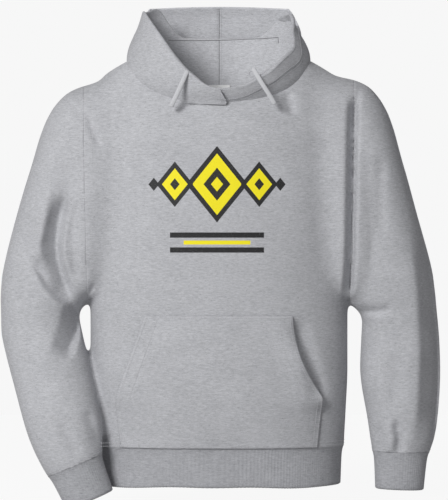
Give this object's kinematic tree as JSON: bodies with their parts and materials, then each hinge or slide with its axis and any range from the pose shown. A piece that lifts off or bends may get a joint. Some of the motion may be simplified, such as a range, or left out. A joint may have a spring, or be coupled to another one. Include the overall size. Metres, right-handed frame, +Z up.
{
  "type": "hooded sweatshirt",
  "caption": "Pullover hooded sweatshirt in heather fleece, hood pushed back, with rib cuffs and waistband, a front hand pocket and drawcords, shaped as it hangs on a wearer.",
  "frame": {"origin": "base of the neck, in the middle plane between the shoulders, where the wearer carries the garment", "axes": "+X to the wearer's left, front towards -Y, +Z up"},
  "size_m": [0.7239, 0.3099, 0.8242],
  "materials": {
    "fleece": "matt heather knit, brushed inside",
    "rib": "matt rib knit",
    "cord": "flat braid",
    "eyelet": "stitched",
    "label": "satin weave, blank"
  },
  "bodies": {
    "root": {"front_body": "fleece", "back_body": "fleece", "left_sleeve_front": "fleece", "left_sleeve_back": "fleece", "right_sleeve_front": "fleece", "right_sleeve_back": "fleece", "left_cuff": "rib", "right_cuff": "rib", "waistband": "rib", "left_hood": "fleece", "right_hood": "fleece", "kangaroo_pocket": "fleece", "left_eyelet": "eyelet", "right_eyelet": "eyelet", "left_drawcord": "cord", "right_drawcord": "cord", "neck_label": "label"}
  },
  "joints": []
}
